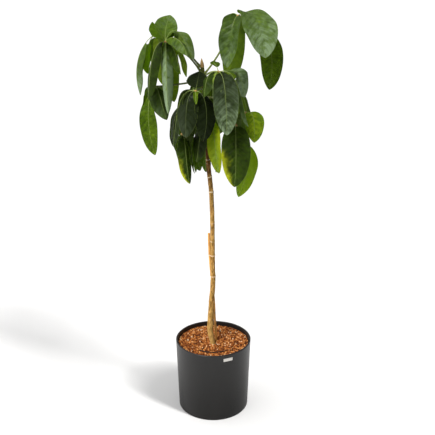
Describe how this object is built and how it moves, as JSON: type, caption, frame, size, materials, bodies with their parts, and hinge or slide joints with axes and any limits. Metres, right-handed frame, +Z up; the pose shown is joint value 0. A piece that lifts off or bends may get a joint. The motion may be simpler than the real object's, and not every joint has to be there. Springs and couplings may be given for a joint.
{
  "type": "potted schefflera",
  "caption": "Tall potted umbrella tree on a bare woody stem, grown in clay granules in a round tapered planter, to stand on a floor.",
  "frame": {"origin": "middle of the planter's flat foot, on the floor", "axes": "+Z up along the planter's axis; -Y towards the side that the picture shows; +X to its right"},
  "size_m": [0.5524, 0.5258, 1.6553],
  "materials": {
    "planter": "matt anthracite, faintly grained",
    "plate": "brushed, left bare",
    "grow_pot": "thin black plastic",
    "root_ball": "matted roots and granules",
    "granules": "dry red-brown fired clay grains",
    "bark": "tan bark, dark towards the crown, with pale leaf scars",
    "cane": "bare bamboo",
    "tie": "pale band",
    "leaf": "glossy dark green, paler midrib"
  },
  "bodies": {
    "root": {"planter": "planter", "plate": "plate", "grow_pot": "grow_pot", "root_ball": "root_ball", "granules_inner": "granules", "granules_outer": "granules", "stem": "bark", "cane": "cane", "tie_upper": "tie", "tie_lower": "tie", "leaf_left_front": "leaf", "leaf_left_back": "leaf", "leaf_left_low": "leaf", "leaf_front": "leaf", "leaf_centre": "leaf", "leaf_low_left": "leaf", "leaf_low_front": "leaf", "leaf_right_low": "leaf", "leaf_top_right": "leaf", "leaf_right_front": "leaf", "leaf_back": "leaf", "leaf_back_right": "leaf", "leaf_back_left": "leaf", "leaf_back_low": "leaf"}
  },
  "joints": []
}
